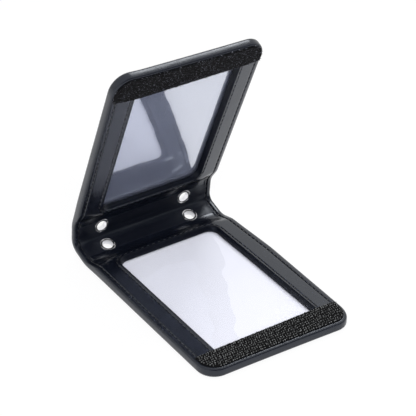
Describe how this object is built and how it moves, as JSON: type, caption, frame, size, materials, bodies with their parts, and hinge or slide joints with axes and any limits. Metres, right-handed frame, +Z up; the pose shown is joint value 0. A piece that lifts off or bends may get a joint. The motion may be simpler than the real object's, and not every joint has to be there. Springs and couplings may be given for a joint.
{
  "type": "badge holder",
  "caption": "Half-open bifold leather badge holder with a clear window in each leaf, a touch-fastener strip at each free end and metal eyelets along the spine.",
  "frame": {"origin": "centre of the lower leaf's flat underside, on the surface that it lies on", "axes": "+Z up, X across the leaves, +Y from the lower leaf's free end towards the spine"},
  "size_m": [0.076, 0.1158, 0.1107],
  "materials": {
    "outer_leather": "satin",
    "inner_leather": "satin",
    "board": "matte",
    "padding": "matte",
    "film": "gloss",
    "paper": "matte",
    "hook": "matte",
    "loop": "matte",
    "thread": "matte",
    "nickel": "polished"
  },
  "bodies": {
    "lower_leaf": {"cover_lower": "outer_leather", "board_lower": "board", "paper_insert": "paper", "film_lower": "film", "pad_lower": "padding", "facing_lower": "inner_leather", "thread_window_lower": "thread", "thread_edge_lower": "thread", "hook_strip": "hook"},
    "spine_lower": {"cover_spine_lower": "outer_leather", "lining_spine_lower": "inner_leather", "eyelet_lower_left": "nickel", "eyelet_lower_right": "nickel", "washer_lower_left": "nickel", "washer_lower_right": "nickel"},
    "spine_upper": {"cover_spine_upper": "outer_leather", "lining_spine_upper": "inner_leather", "eyelet_upper_left": "nickel", "eyelet_upper_right": "nickel", "washer_upper_left": "nickel", "washer_upper_right": "nickel"},
    "upper_leaf": {"cover_upper": "outer_leather", "board_upper": "board", "film_upper": "film", "pad_upper": "padding", "facing_upper": "inner_leather", "thread_window_upper": "thread", "thread_edge_upper": "thread", "loop_strip": "loop"}
  },
  "joints": [
    {"name": "fold_hinge", "type": "hinge", "parent": "spine_lower", "child": "spine_upper", "pos_m": [0, 0.0644, 0.00458], "axis": [1, 0, 0], "range_deg": [-79.39, 45.65], "deforming": ["cover_spine_lower", "lining_spine_lower", "cover_spine_upper", "lining_spine_upper"]},
    {"name": "hinge_lower", "type": "hinge", "parent": "lower_leaf", "child": "spine_lower", "pos_m": [0, 0.05275, 0.00095], "axis": [1, 0, 0], "range_deg": [-17.4, 10.1], "deforming": ["cover_spine_lower", "lining_spine_lower"]},
    {"name": "hinge_upper", "type": "hinge", "parent": "spine_upper", "child": "upper_leaf", "pos_m": [0, 0.06298, 0.0167], "axis": [1, 0, 0], "range_deg": [-17.4, 10.1], "deforming": ["cover_spine_upper", "lining_spine_upper"]}
  ],
  "couplings": [
    {"joint": "hinge_lower", "follows": "fold_hinge", "ratio": 0.21797},
    {"joint": "hinge_upper", "follows": "fold_hinge", "ratio": 0.21797}
  ]
}
